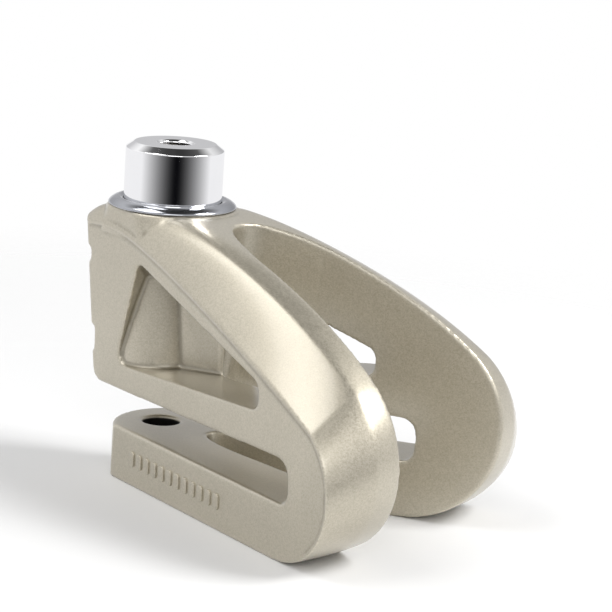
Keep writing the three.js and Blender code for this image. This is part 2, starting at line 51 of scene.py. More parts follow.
mm = 0.001
AIM = Vector((31.3, 0, 37.9)) * mm
DISTANCE = 416.5 * mm
AZIMUTH = math.radians(34.99)
ELEVATION = math.radians(12.6)
TILT = math.radians(3.77)

camera = bpy.data.objects.new("camera", bpy.data.cameras.new("camera"))
camera.data.lens = 138.4
camera.data.sensor_width = 36
camera.data.clip_start = 0.01
turn = Matrix.Rotation(AZIMUTH, 4, "Z") @ Matrix.Rotation(math.pi / 2 - ELEVATION, 4, "X")
camera.matrix_world = (
    Matrix.Translation(AIM)
    @ turn
    @ Matrix.Translation((0, 0, DISTANCE))
    @ Matrix.Rotation(TILT, 4, "Z")
)
bpy.context.scene.collection.objects.link(camera)
bpy.context.scene.camera = camera

# ---- Lock body ---------------------------------------------------------------------------------
# One zinc die casting: a blunt wedge split into two wings, with a slot for the disc, a window
# through each wing and a bore for the cylinder. It is drawn from its outlines and cut, then given
# the small soft radii of a casting all over, and sprayed champagne metallic under satin lacquer.

HALF_WIDTH, SIDE_SPREAD, SIDE_LEAN = 10.2, 0.332, 0.036
BODY_HEIGHT = 51.2
BACK_FACE_X, BACK_FACE_LEAN = -11.9, 0.11
BACK_CORNER_Y, BACK_CORNER_RADIUS = 6.75, 2.2
BACK_GROOVE_DEPTH, BACK_HEEL_RADIUS = 1.2, 3
BACK_GROOVES = ((40.7, 2.5), (25, 4.6))  # height and width of each
BACK_EDGE_DROP = 5.1
NOSE_X, NOSE_RADIUS = 46, 17.9
CREASE_NOSE_X, CREASE_NOSE_RADIUS = 45, 13.9
NOSE_TOP = math.radians(50)
CREASE_DROP = 3.9
INNER_EDGE, RIDGE, RIDGE_FALL = 0.47, 0.68, 0.13  # shares of the half width, and of the fall
JAW_THICKNESS, JAW_TIP_RADIUS, JAW_TIP_X = 10.3, 11.6, -8.2
SLOT_ROOF, SLOT_ROOF_RISE, SLOT_END_X = 17.7, 0.018, 48.2
GAP_APEX_X, GAP_APEX_LEAN, GAP_BEND_X = 10.4, 0.108, 28
GAP_HALF_WIDTH, GAP_SPREAD, GAP_LEAN = 0.22, 0.231, 0.065
WINDOW_FLOOR, WINDOW_TOP, WINDOW_END_X = 21.9, 42.3, 39.3
CYLINDER_RADIUS, COLLAR_RADIUS, LINER_RADIUS, PIN_RADIUS = 9, 11.9, 6.9, 3
POCKET_FLOOR, BORE_FLOOR, COLLAR_FOOT = 41.3, 22, 47.6
SCREW_RADIUS, SCREW_HEIGHTS = 1.7, (39.2, 25)
BEHIND, BEYOND = -24, 85
LIP_STEP, LIP_WIDTH = 0.42, 0.4  # how the flat sides lie below the rim's edge
BACK_RIM_POWER, COLLAR_RIM_POWER = 5, 2.2  # how square the rim is at the back and by the collar
RIM_START, BACK_RIM_END_X, RIDGED_FROM_X = 0.5, -12, 34  # where the square rim starts and ends
PIN_CLEARANCE, JAW_HOLE_RADIUS, JAW_HOLE_FLOOR = 0.15, 3.5, 4
COLLAR_SEAT_RADIUS, FIT = 10.25, 0.1
BOSS_SOFT_DEPTH, BOSS_SOFT_RADII, BOSS_SOFT_BACK_X = (0.6, 3), (11, 14), -9
BOSS_SOFTENING, CASTING_SOFTENING = 30, 6  # rounds of smoothing
CASTING_VOXEL, CASTING_TRIANGLES = 0.28, 190000
LONG_STRETCH, STRETCH_CUTS = 1.5, 15


def half_width(x, z):
    return HALF_WIDTH + SIDE_SPREAD * x + SIDE_LEAN * z


def smoothstep(low, high, x):
    share = min(1, max(0, (x - low) / (high - low)))
    return share * share * (3 - 2 * share)


def arc(centre, radius, start, end, steps):
    angles = [start + (end - start) * i / steps for i in range(steps + 1)]
    return [Vector(centre) + radius * Vector((math.cos(a), math.sin(a))) for a in angles]


def bezier(points, steps):
    made = []
    for i in range(steps + 1):
        level = [Vector(p) for p in points]
        while len(level) > 1:
            level = [a.lerp(b, i / steps) for a, b in zip(level, level[1:])]
        made.append(level[0])
    return made


def rounded(corners, steps=8):
    """An outline through (u, v) corners, each rounded by the radius that may follow."""
    spots = [Vector(c[:2]) for c in corners]
    made = []
    for i, corner in enumerate(corners):
        spot = spots[i]
        before = (spots[i - 1] - spot).normalized()
        after = (spots[(i + 1) % len(spots)] - spot).normalized()
        if len(corner) == 2:
            made.append(spot)
            continue
        reach = corner[2] / math.tan(before.angle(after) / 2)
        made += bezier([spot + before * reach, spot, spot + after * reach], steps)
    return made


def lofted(rings):
    """A closed skin over rings of equal count: the first ring's face is extruded to each next one."""
    bm = bmesh.new()
    place = bm.verts.layers.int.new("place")
    first = [bm.verts.new(p) for p in rings[0]]
    for i, vert in enumerate(first):
        vert[place] = i
    face = bmesh.ops.contextual_create(bm, geom=first)["faces"][0]
    for count, ring in enumerate(rings[1:]):
        grown = bmesh.ops.extrude_face_region(bm, geom=[face])["geom"]
        if count:
            bmesh.ops.delete(bm, geom=[face], context="FACES_ONLY")
        face = next(g for g in grown if isinstance(g, bmesh.types.BMFace))
        for vert in face.verts:
            vert.co = ring[vert[place]]
    bmesh.ops.remove_doubles(bm, verts=bm.verts, dist=1e-4)
    bmesh.ops.recalc_face_normals(bm, faces=bm.faces)
    return bm


def across(outline, reach=60):
    """A side view outline of (x, z) pushed through the body."""
    return lofted([[(u, y, v) for u, v in outline] for y in (-reach, reach)])


def upright(outline, z0, z1, lean=0):
    """A plan outline of (x, y) between two heights, leaning along x as it rises."""
    return lofted([[(u + lean * (z - z0), v, z) for u, v in outline] for z in (z0, z1)])


def turned(profile, steps=96, edge=0, closed_ring=False):
    """A profile of (radius, z) spun about the cylinder's axis, its corners eased by edge.

    Long straight stretches are cut up, so that the eased corners don't bend their shading.
    """
    bm = bmesh.new()
    points = [bm.verts.new((r, 0, z)) for r, z in profile]
    for pair in zip(points, points[1:] + points[:1] if closed_ring else points[1:]):
        bm.edges.new(pair)
    if edge:
        eased = [v for v in points if len(v.link_edges) == 2]
        bmesh.ops.bevel(
            bm, geom=eased, offset=edge, affect="VERTICES", segments=4, profile=0.5, material=-1,
        )
    straight = [e for e in bm.edges if e.calc_length() > LONG_STRETCH]
    bmesh.ops.subdivide_edges(bm, edges=straight, cuts=STRETCH_CUTS)
    bmesh.ops.spin(
        bm, geom=bm.verts[:] + bm.edges[:], cent=(0, 0, 0), axis=(0, 0, 1), angle=2 * math.pi,
        steps=steps, use_merge=True,
    )
    bmesh.ops.remove_doubles(bm, verts=bm.verts, dist=1e-4)
    bmesh.ops.recalc_face_normals(bm, faces=bm.faces)
    return bm


def rod(radius, x0, x1, z, segments=48):
    """A round bar along X at height z."""
    bm = bmesh.new()
    bmesh.ops.create_cone(
        bm, cap_ends=True, segments=segments, radius1=radius, radius2=radius, depth=x1 - x0,
        matrix=Matrix.Translation(((x0 + x1) / 2, 0, z)) @ Matrix.Rotation(math.pi / 2, 4, "Y"),
    )
    return bm


def block(low, high):
    bm = bmesh.new()
    size = Vector(high) - Vector(low)
    centre = (Vector(high) + Vector(low)) / 2
    bmesh.ops.create_cube(bm, size=1, matrix=Matrix.Translation(centre) @ Matrix.Diagonal((*size, 1)))
    return bm


def shaped(bm, modifiers):
    """The mesh after modifiers, each given as its type and settings; a bmesh setting is a tool."""
    made = []

    def stand_in(tool):
        mesh = bpy.data.meshes.new("shaping")
        tool.to_mesh(mesh)
        tool.free()
        made.append(bpy.data.objects.new("shaping", mesh))
        bpy.context.scene.collection.objects.link(made[-1])
        return made[-1]

    work = stand_in(bm)
    for kind, settings in modifiers:
        modifier = work.modifiers.new(kind, kind)
        for name, value in settings.items():
            setattr(modifier, name, stand_in(value) if isinstance(value, bmesh.types.BMesh) else value)
    graph = bpy.context.evaluated_depsgraph_get()
    result = bmesh.new()
    result.from_mesh(work.evaluated_get(graph).to_mesh())
    for obj in made:
        mesh = obj.data
        bpy.data.objects.remove(obj)
        bpy.data.meshes.remove(mesh)
    return result


def worked(bm, operation, *tools):
    """The solid after a boolean operation with each tool in turn."""
    return shaped(bm, [
        ("BOOLEAN", {"object": tool, "operation": operation, "solver": "EXACT"}) for tool in tools
    ])


def side_outline(nose_x, nose_radius, tangent, middle, shoulder, land):
    """Along the underside, round the nose, back over the top and down the back edge."""
    nose = arc((nose_x, nose_radius), nose_radius, -math.pi / 2, NOSE_TOP, 44)
    top = bezier([nose[-1], tangent, middle, shoulder], 52)
    flat = bezier([shoulder, (-6, land)], 6)
    back = bezier([(-6, land), (-13, land), (-17, BODY_HEIGHT - BACK_EDGE_DROP)], 12)
    end = Vector((BEHIND, BODY_HEIGHT - BACK_EDGE_DROP))
    return [Vector((BEHIND, 0))] + nose + top[1:] + flat[1:] + back[1:] + [end]


def rim_fall(v, x):
    """How far the rim has fallen to its edge: level, over a soft ridge, then down to the lip."""
    level = min(1, max(0, (v - INNER_EDGE) / (RIDGE - INNER_EDGE)))
    slope = max(0, (v - RIDGE) / (1 - RIDGE))
    ridged = RIDGE_FALL * level ** 1.6 + (1 - RIDGE_FALL) * slope ** 1.1
    power = BACK_RIM_POWER + (COLLAR_RIM_POWER - BACK_RIM_POWER) * smoothstep(BACK_RIM_END_X, 0, x)
    square = max(0, (v - RIM_START) / (1 - RIM_START)) ** power
    return square + (ridged - square) * smoothstep(0, RIDGED_FROM_X, x)


def outer_skin():
    nose_top = (NOSE_X + NOSE_RADIUS * math.cos(NOSE_TOP), NOSE_RADIUS * (1 + math.sin(NOSE_TOP)))
    inner = side_outline(
        NOSE_X, NOSE_RADIUS, (nose_top[0] - 12.3, nose_top[1] + 10.3), (23, BODY_HEIGHT - 1.8),
        (10, BODY_HEIGHT - 0.1), BODY_HEIGHT,
    )
    drop = BODY_HEIGHT - CREASE_DROP
    crease = side_outline(
        CREASE_NOSE_X, CREASE_NOSE_RADIUS, (CREASE_NOSE_X - 15.5, BODY_HEIGHT - 14.4),
        (6, drop - 1.6), (-4, drop - 0.2), drop,
    )

    def proud(z):  # the lip dies away towards the underside
        return LIP_STEP * smoothstep(0, 4, z)

    def ring(v):
        made = []
        for a, b in zip(inner, crease):
            p = a.lerp(b, rim_fall(abs(v), a.x))
            made.append(Vector((p.x, v * (half_width(p.x, p.y) - LIP_STEP + proud(p.y)), p.y)))
        return made

    def sunk(side):
        made = []
        for i, p in enumerate(crease):
            along = (crease[min(i + 1, len(crease) - 1)] - crease[max(i - 1, 0)]).normalized()
            inset = p + Vector((-along.y, along.x)) * LIP_WIDTH * smoothstep(0, 4, p.y)
            made.append(Vector((inset.x, side * (half_width(*inset) - LIP_STEP), inset.y)))
        return made

    steps = 22
    half = [INNER_EDGE + (1 - INNER_EDGE) * i / steps for i in range(steps + 1)]
    shares = [-v for v in reversed(half)] + [0] + half
    return lofted([sunk(-1)] + [ring(v) for v in shares] + [sunk(1)])


def back_trim():
    """What the wedge is kept to at the back: a leaning face above the slot, a round tip below."""
    split = JAW_THICKNESS + 3.7
    spread = SIDE_SPREAD + 0.02
    face_x = BACK_FACE_X + BACK_FACE_LEAN * (SLOT_ROOF - split)
    wide = BACK_CORNER_Y + spread * (BEYOND - face_x)
    upper = rounded([
        (BEYOND, -wide), (BEYOND, wide), (face_x, BACK_CORNER_Y, BACK_CORNER_RADIUS),
        (face_x, -BACK_CORNER_Y, BACK_CORNER_RADIUS),
    ])
    tip_angle = math.radians(126)
    tip = arc((JAW_TIP_X + JAW_TIP_RADIUS, 0), JAW_TIP_RADIUS, tip_angle, 2 * math.pi - tip_angle, 48)
    jaw_wide = tip[0].y + spread * (BEYOND - tip[0].x)
    jaw = [(BEYOND, -jaw_wide), (BEYOND, jaw_wide)] + tip
    above = upright(upper, split, BODY_HEIGHT + 5, -BACK_FACE_LEAN)
    return worked(above, "UNION", upright(jaw, -1, split + 1))


def collar_boss():
    foot = BODY_HEIGHT - 5
    corners = [(-14, foot - 1), (14, foot - 1), (14, BODY_HEIGHT + 1), (-14, BODY_HEIGHT + 1)]
    sides = lofted([
        [(x, side * 0.97 * half_width(x, z), z) for x, z in corners] for side in (-1, 1)
    ])
    cone = turned([
        (0, foot), (COLLAR_RADIUS + 0.8, foot), (COLLAR_RADIUS, BODY_HEIGHT), (0, BODY_HEIGHT),
    ])
    return worked(cone, "INTERSECT", sides)


def disc_slot():
    roof = [SLOT_ROOF + SLOT_ROOF_RISE * (x - NOSE_X / 2) for x in (SLOT_END_X, BEHIND - 5)]
    return across(rounded([
        (BEHIND - 5, JAW_THICKNESS), (SLOT_END_X, JAW_THICKNESS, 2.5), (SLOT_END_X, roof[0], 3.5),
        (BEHIND - 5, roof[1]),
    ]))


def wing_gap():
    """The gap between the wings: a rounded apex that opens to two flat walls."""
    rings = []
    for z in (-4, BODY_HEIGHT + 6):
        apex = GAP_APEX_X + GAP_APEX_LEAN * z
        far, bend = (GAP_HALF_WIDTH + GAP_SPREAD * x + GAP_LEAN * z for x in (BEYOND, GAP_BEND_X))
        half = bezier([(GAP_BEND_X, bend), (apex + 7, bend - 2), (apex, bend - 4.5), (apex, 0)], 20)
        other = [(x, -y) for x, y in reversed(half[:-1])]
        outline = [(BEYOND, far)] + [tuple(p) for p in half] + other + [(BEYOND, -far)]
        rings.append([(x, y, z) for x, y in outline])
    return lofted(rings)


def windows():
    """The triangular opening through both wings, less the barrel and the web behind it."""
    opening = across(rounded([
        (-4.1, WINDOW_FLOOR, 2.6), (WINDOW_END_X, WINDOW_FLOOR + 2.7, 2.4),
        (WINDOW_END_X, WINDOW_FLOOR + 7.4, 2.4), (2.4, WINDOW_TOP, 1.7),
    ]))
    foot, shoulder, top = WINDOW_FLOOR - 5, POCKET_FLOOR - 2, WINDOW_TOP + 5
    wide = CYLINDER_RADIUS + 1.8
    barrel = turned([
        (0, foot), (9.8, foot), (8, shoulder), (wide, shoulder + 2.4), (wide, top), (0, top),
    ])
    return worked(opening, "DIFFERENCE", barrel, block((0, -5, foot), (GAP_APEX_X + 8, 5, top)))


def back_heel():
    """What is rounded off the back face's lower edge."""
    roof = SLOT_ROOF + SLOT_ROOF_RISE * (BACK_FACE_X - NOSE_X / 2)
    x, z = BACK_FACE_X + BACK_HEEL_RADIUS, roof + BACK_HEEL_RADIUS
    curve = arc((x, z), BACK_HEEL_RADIUS, -math.pi / 2, -math.pi, 12)
    return across([(BEHIND, roof - 1), (x, roof - 1)] + curve + [(BEHIND, z)])


def back_groove(z, width):
    face = BACK_FACE_X - BACK_FACE_LEAN * (z - SLOT_ROOF)
    deep, half = face + BACK_GROOVE_DEPTH, width / 2
    return across(rounded([
        (face - 6, z - half - 1), (deep, z - half, 0.8), (deep, z + half, 0.8), (face - 6, z + half + 1),
    ]))


def casting():
    liner_bore, cylinder_bore = LINER_RADIUS + FIT, CYLINDER_RADIUS + FIT
    seat, mouth = COLLAR_FOOT - FIT, BODY_HEIGHT + 8
    bore = turned([
        (0, BORE_FLOOR), (liner_bore, BORE_FLOOR), (liner_bore, POCKET_FLOOR),
        (cylinder_bore, POCKET_FLOOR), (cylinder_bore, seat),
        (COLLAR_SEAT_RADIUS, seat), (COLLAR_SEAT_RADIUS, mouth), (0, mouth),
    ])
    pin_bore, below, above = PIN_RADIUS + PIN_CLEARANCE, SLOT_ROOF - 2, BORE_FLOOR + 1
    pin_hole = turned([(0, below), (pin_bore, below), (pin_bore, above), (0, above)])
    top = JAW_THICKNESS + 1
    jaw_hole = turned([
        (0, JAW_HOLE_FLOOR), (JAW_HOLE_RADIUS, JAW_HOLE_FLOOR), (JAW_HOLE_RADIUS, top), (0, top),
    ])
    solid = worked(outer_skin(), "INTERSECT", back_trim())
    solid = worked(solid, "UNION", collar_boss())
    tools = [disc_slot(), wing_gap(), windows(), bore, pin_hole, jaw_hole, back_heel()]
    tools += [back_groove(*groove) for groove in BACK_GROOVES]
    tools += [rod(SCREW_RADIUS + 0.05, BEHIND, 0.5 - LINER_RADIUS, z) for z in SCREW_HEIGHTS]
    solid = worked(solid, "DIFFERENCE", *tools)
    cast = shaped(solid, [("REMESH", {"mode": "VOXEL", "voxel_size": CASTING_VOXEL})])

    def soften(verts, times):
        for _ in range(times):
            bmesh.ops.smooth_vert(
                cast, verts=verts, factor=0.5, use_axis_x=True, use_axis_y=True, use_axis_z=True,
            )

    def is_near_boss(p):
        shallow, deep = BOSS_SOFT_DEPTH
        inside, outside = BOSS_SOFT_RADII
        level = BODY_HEIGHT - deep < p.z < BODY_HEIGHT - shallow
        return level and inside < math.hypot(p.x, p.y) < outside and p.x > BOSS_SOFT_BACK_X

    soften([v for v in cast.verts if is_near_boss(v.co)], BOSS_SOFTENING)
    soften(cast.verts, CASTING_SOFTENING)
    share = CASTING_TRIANGLES / sum(len(f.verts) - 2 for f in cast.faces)
    return shaped(cast, [("DECIMATE", {"ratio": min(1, share)})])


class Wire:
    """A shader socket: arithmetic on it adds Math nodes, and node() adds a node of any kind."""

    def __init__(self, tree, socket=None):
        self.tree, self.socket = tree, socket

    def node(self, kind, settings, inputs, output=0):
        made = self.tree.nodes.new("ShaderNode" + kind)
        for name, value in settings.items():
            if name == "stops":
                ramp = made.color_ramp.elements
                ramp.remove(ramp[0])
                ramp[0].position, ramp[0].color = value[0]
                for position, colour in value[1:]:
                    ramp.new(position).color = colour
            else:
                setattr(made, name, value)
        for name, value in inputs.items():
            if isinstance(value, Wire):
                self.tree.links.new(value.socket, made.inputs[name])
            else:
                made.inputs[name].default_value = value
        return Wire(self.tree, made.outputs[output] if made.outputs else None)

    def math(self, operation, first, second):
        return self.node("Math", {"operation": operation}, {0: first, 1: second})

    def __add__(self, other):
        return self.math("ADD", self, other)

    def __radd__(self, other):
        return self.math("ADD", other, self)

    def __sub__(self, other):
        return self.math("SUBTRACT", self, other)

    def __rsub__(self, other):
        return self.math("SUBTRACT", other, self)

    def __mul__(self, other):
        return self.math("MULTIPLY", self, other)

    def __rmul__(self, other):
        return self.math("MULTIPLY", other, self)


def finish(name):
    """A new material and the wire that its nodes start from."""
    material = bpy.data.materials.new(name)
    material.use_nodes = True
    material.node_tree.nodes.clear()
    return material, Wire(material.node_tree)


def spot(wire):
    return wire.node("TexCoord", {}, {}, "Object")


def cloudy(wire, size, detail=3, stretch=(1, 1, 1)):
    """Soft noise whose blotches are about size metres across."""
    laid = wire.node("Mapping", {}, {"Vector": spot(wire), "Scale": tuple(s / size for s in stretch)})
    return wire.node("TexNoise", {}, {"Vector": laid, "Scale": 1, "Detail": detail}, "Fac")


def spread(wire, value, low, high, to_low, to_high):
    return wire.node("MapRange", {"clamp": True}, {
        "Value": value, "From Min": low, "From Max": high, "To Min": to_low, "To Max": to_high,
    })


def tinted(wire, share, first, second):
    return wire.node("Mix", {"data_type": "RGBA"}, {0: share, 6: first, 7: second}, 2)


def bumped(wire, height, depth, under=None):
    inputs = {"Height": height, "Distance": depth, "Strength": 1}
    return wire.node("Bump", {}, inputs | ({"Normal": under} if under else {}))


def coated(wire, settings):
    shader = wire.node("BsdfPrincipled", {}, settings)
    wire.node("OutputMaterial", {}, {"Surface": shader})


def champagne_paint():
    material, wire = finish("champagne_paint")
    laid = wire.node("Mapping", {}, {"Vector": spot(wire), "Scale": (5200, 5200, 5200)})
    flake = wire.node("TexVoronoi", {}, {"Vector": laid, "Scale": 1}, "Color")
    glint = wire.node("SeparateColor", {}, {"Color": flake}, 0)
    mottle = cloudy(wire, 0.34 * mm, 2)
    drift = cloudy(wire, 14 * mm, 2)
    edge = wire.node("Attribute", {"attribute_name": "edge"}, {}, "Fac")
    tone = spread(wire, glint * 0.35 + mottle * 0.45 + drift * 0.2, 0.3, 0.7, 0, 1)
    paint = tinted(wire, tone, (0.44, 0.402, 0.318, 1), (0.55, 0.508, 0.415, 1))
    # Lighter on convex edges: edge wear and painted highlight.
    edge_wear_and_highlight = spread(wire, edge * 0.8 + mottle * 0.4, 0.55, 1.05, 0, 0.5)
    # Darker in concave corners: painted shade.
    painted_corner_shade = spread(wire, edge, -0.05, -0.3, 0, 0.6)
    paint_worn_lit_and_shaded = tinted(wire, painted_corner_shade, tinted(wire, edge_wear_and_highlight, paint, (0.66, 0.62, 0.52, 1)), (0.16, 0.14, 0.1, 1))
    # Near black inside the jaw hole below its lip: painted shade in the hole.
    across_axis = wire.node("VectorMath", {"operation": "MULTIPLY"}, {0: spot(wire), 1: (1, 1, 0)})
    off_axis = wire.node("VectorMath", {"operation": "LENGTH"}, {0: across_axis}, "Value")
    depth = wire.node("SeparateXYZ", {}, {"Vector": spot(wire)}, "Z")
    wall = (JAW_HOLE_RADIUS + 0.05) * mm
    in_hole = spread(wire, off_axis, wall, wall + 0.2 * mm, 1, 0)
    under_lip = spread(wire, depth, (JAW_THICKNESS - 0.7) * mm, (JAW_THICKNESS - 0.4) * mm, 1, 0)
    painted_hole_shade = in_hole * under_lip * spread(wire, depth, 1 * mm, 2 * mm, 0, 1)
    colour = tinted(wire, painted_hole_shade, paint_worn_lit_and_shaded, (0.03, 0.028, 0.025, 1))
    orange_peel = cloudy(wire, 1.6 * mm, 1)
    flat = bumped(wire, glint, 0.004 * mm)
    coated(wire, {
        "Base Color": colour,
        "Metallic": 0.78,
        "Roughness": spread(wire, mottle * 0.6 + glint * 0.4, 0.25, 0.75, 0.33, 0.47),
        "Normal": bumped(wire, orange_peel, 0.012 * mm, flat),
        "Coat Weight": 0.8,
        "Coat Roughness": 0.18,
    })
    return material


FULL_EDGE = 0.03  # how proud of its neighbours a point on a full edge stands


def edge_share(bm):
    """How convex each point is, kept for the paint: lighter on convex edges as edge wear and painted
    highlight, darker in concave corners as painted shade.
    """
    layer = bm.verts.layers.float.new("edge")
    bm.normal_update()
    raw = {}
    for v in bm.verts:
        around = [e.other_vert(v).co for e in v.link_edges]
        middle = sum(around, Vector()) / len(around)
        raw[v] = (v.co - middle).dot(v.normal)
    for v in bm.verts:
        near = [raw[e.other_vert(v)] for e in v.link_edges]
        v[layer] = min(1, max(-1, (raw[v] + sum(near)) / (1 + len(near)) / FULL_EDGE))


def placed(bm, name, material, body, slot, *nodes, sharp=35):
    """The finished mesh as a piece of the lock, in metres, on its body and in place of its nodes."""
    bmesh.ops.scale(bm, vec=(mm, mm, mm), verts=bm.verts)
    mesh = bpy.data.meshes.new(name)
    bm.to_mesh(mesh)
    bm.free()
    mesh.materials.append(material)
    mesh.shade_smooth()
    mesh.set_sharp_from_angle(angle=math.radians(sharp))
    piece = bpy.data.objects.new(name, mesh)
    bpy.context.scene.collection.objects.link(piece)
    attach(piece, body)
    if nodes:
        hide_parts(*nodes)
    return piece


paint = champagne_paint()
cast = casting()
edge_share(cast)
placed(cast, "cast_body", paint, "lock", "cast_body", "lock_body", sharp=180)

# ---- Raised marks ------------------------------------------------------------------------------
# A row of plain raised bars on the right side of the jaw, cast with the body and painted with it.

MARK_COUNT, MARK_PITCH, MARK_FIRST_X = 12, 2.4, 2.2
MARK_LENGTH, MARK_HEIGHT, MARK_Z, MARK_RISE = 1.6, 2.9, 5.3, 0.32

marks = bmesh.new()
for i in range(MARK_COUNT):
    x = MARK_FIRST_X + i * MARK_PITCH
    lay = Matrix.Translation((x, LIP_STEP - half_width(x, MARK_Z), MARK_Z))
    lay @= Matrix.Rotation(-math.atan(SIDE_SPREAD), 4, "Z")
    lay @= Matrix.Rotation(math.atan(SIDE_LEAN), 4, "X")
    bar = block((-MARK_LENGTH / 2, -MARK_RISE, -MARK_HEIGHT / 2), (MARK_LENGTH / 2, 0.3, MARK_HEIGHT / 2))
    corners = [e for e in bar.edges if abs((e.verts[0].co - e.verts[1].co).y) > 0.1]
    bmesh.ops.bevel(
        bar, geom=corners, offset=0.6, affect="EDGES", segments=5, profile=0.5, material=-1,
    )
    front = [e for e in bar.edges if all(v.co.y < -MARK_RISE + 0.01 for v in e.verts)]
    bmesh.ops.bevel(bar, geom=front, offset=0.14, affect="EDGES", segments=3, profile=0.5, material=-1)
    bmesh.ops.transform(bar, matrix=lay, verts=bar.verts)
    loose = bpy.data.meshes.new("bar")
    bar.to_mesh(loose)
    bar.free()
    marks.from_mesh(loose)
    bpy.data.meshes.remove(loose)
marks.verts.layers.float.new("edge")
placed(marks, "cast_marks", paint, "lock", "cast_body")

# ---- Collar ring -------------------------------------------------------------------------------
# A thin domed ring of chromed brass pressed into the mouth of the bore, round the cylinder. Its chrome is
# a darker grey copy of the cylinder's chrome: painted shade.

COLLAR_TOP = BODY_HEIGHT + 1.4
SEAL_SECTION, SEAL_Z, SEAL_RADIUS = 0.5, BODY_HEIGHT + 0.65, 9.6


def chrome_plate(name, base, scuff):
    material, wire = finish(name)
    haze = cloudy(wire, 6 * mm, 3)
    hairline = cloudy(wire, 0.5 * mm, 2, (1, 1, 0.06))
    coated(wire, {
        "Base Color": tinted(wire, haze, base, tuple(min(1, c * 1.06) for c in base[:3]) + (1,)),
        "Metallic": 1,
        "Roughness": spread(wire, haze * 0.5 + hairline * 0.5, 0.3, 0.75, scuff, scuff + 0.05),
        "Normal": bumped(wire, hairline, 0.0012 * mm),
    })
    return material


inner = CYLINDER_RADIUS + 0.1
dome = [
    *bezier([(11.55, 51.22), (12.0, 51.35), (11.5, 51.85)], 8),
    *bezier([(11.5, 51.85), (10.75, COLLAR_TOP), (inner + 0.6, COLLAR_TOP)], 8)[1:],
]
collar = turned([
    (inner, COLLAR_FOOT), (10.2, COLLAR_FOOT), (10.2, 51.25), *[tuple(p) for p in dome],
    (inner, COLLAR_TOP - 0.35), (inner, SEAL_Z + 0.45), (SEAL_RADIUS + 0.5, SEAL_Z + 0.45),
    (SEAL_RADIUS + 0.5, SEAL_Z - 0.5), (inner, SEAL_Z - 0.5),
], steps=128, closed_ring=True)
# A darker grey copy of the chrome: painted shade on the collar.
shaded_collar_chrome = chrome_plate("shaded_collar_chrome", (0.42, 0.43, 0.46, 1), 0.13)
placed(collar, "collar", shaded_collar_chrome, "lock", "chrome", "collar_ring")

# ---- Wiper seal --------------------------------------------------------------------------------
# A black rubber ring in the collar's groove that keeps grit out of the bore.


def seal_rubber():
    material, wire = finish("seal_rubber")
    grain = cloudy(wire, 0.3 * mm, 3)
    coated(wire, {
        "Base Color": tinted(wire, grain, (0.012, 0.012, 0.013, 1), (0.03, 0.03, 0.031, 1)),
        "Roughness": spread(wire, grain, 0.3, 0.7, 0.55, 0.75),
        "Normal": bumped(wire, grain, 0.01 * mm),
    })
    return material


seal = turned(
    [tuple(p) for p in arc((SEAL_RADIUS, SEAL_Z), SEAL_SECTION - 0.06, 0, 2 * math.pi, 16)[:-1]],
    steps=96, closed_ring=True,
)
placed(seal, "seal", seal_rubber(), "lock", "rubber", "wiper_seal")

# ---- Liner, seat and return spring -------------------------------------------------------------
# The ground steel sleeve that the stem slides in, a steel washer, and the coil spring that lifts
# the cylinder: round spring wire, six turns.

SPRING_WIRE, SPRING_TURNS, SPRING_RADIUS = 0.5, 6, 4.45
SPRING_FOOT, SPRING_TOP = 23.1, 36.5
TRAVEL = 10.2  # how far the cylinder is pushed down


def ground_steel(name, base):
    material, wire = finish(name)
    grain = cloudy(wire, 0.25 * mm, 3, (1, 1, 0.1))
    stain = cloudy(wire, 3 * mm, 3)
    coated(wire, {
        "Base Color": tinted(wire, stain, tuple(c * 0.85 for c in base) + (1,), base + (1,)),
        "Metallic": 1,
        "Roughness": spread(wire, grain * 0.6 + stain * 0.4, 0.3, 0.7, 0.22, 0.42),
        "Normal": bumped(wire, grain, 0.003 * mm),
    })
    return material


steel = ground_steel("ground_steel", (0.55, 0.55, 0.56))


def keep(material, *names):
    """These nodes keep their shape and take this finish."""
    for name in names:
        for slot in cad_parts[name].material_slots:
            slot.material = material


keep(steel, "barrel_liner", "spring_seat")

coil = bmesh.new()
bmesh.ops.create_circle(
    coil, segments=14, radius=SPRING_WIRE,
    matrix=Matrix.Translation((SPRING_RADIUS, 0, SPRING_FOOT)) @ Matrix.Rotation(math.pi / 2, 4, "X"),
)
coil_steps = SPRING_TURNS * 32
bmesh.ops.spin(
    coil, geom=coil.verts[:] + coil.edges[:], cent=(0, 0, 0), axis=(0, 0, 1),
    dvec=(0, 0, (SPRING_TOP - SPRING_FOOT) / coil_steps), angle=2 * math.pi * SPRING_TURNS,
    steps=coil_steps,
)
bmesh.ops.holes_fill(coil, edges=[e for e in coil.edges if e.is_boundary], sides=20)
bmesh.ops.recalc_face_normals(coil, faces=coil.faces)
spring = placed(coil, "spring_coil", steel, "lock", "steel", "return_spring")
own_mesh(spring)

# ---- Set screws --------------------------------------------------------------------------------
# Two black socket set screws in the back: one guides the stem, the other holds the liner.


def black_oxide():
    material, wire = finish("black_oxide")
    grain = cloudy(wire, 0.4 * mm, 3)
    coated(wire, {
        "Base Color": tinted(wire, grain, (0.022, 0.022, 0.024, 1), (0.06, 0.06, 0.064, 1)),
        "Metallic": 0.8,
        "Roughness": spread(wire, grain, 0.3, 0.7, 0.34, 0.5),
        "Normal": bumped(wire, grain, 0.004 * mm),
    })
    return material


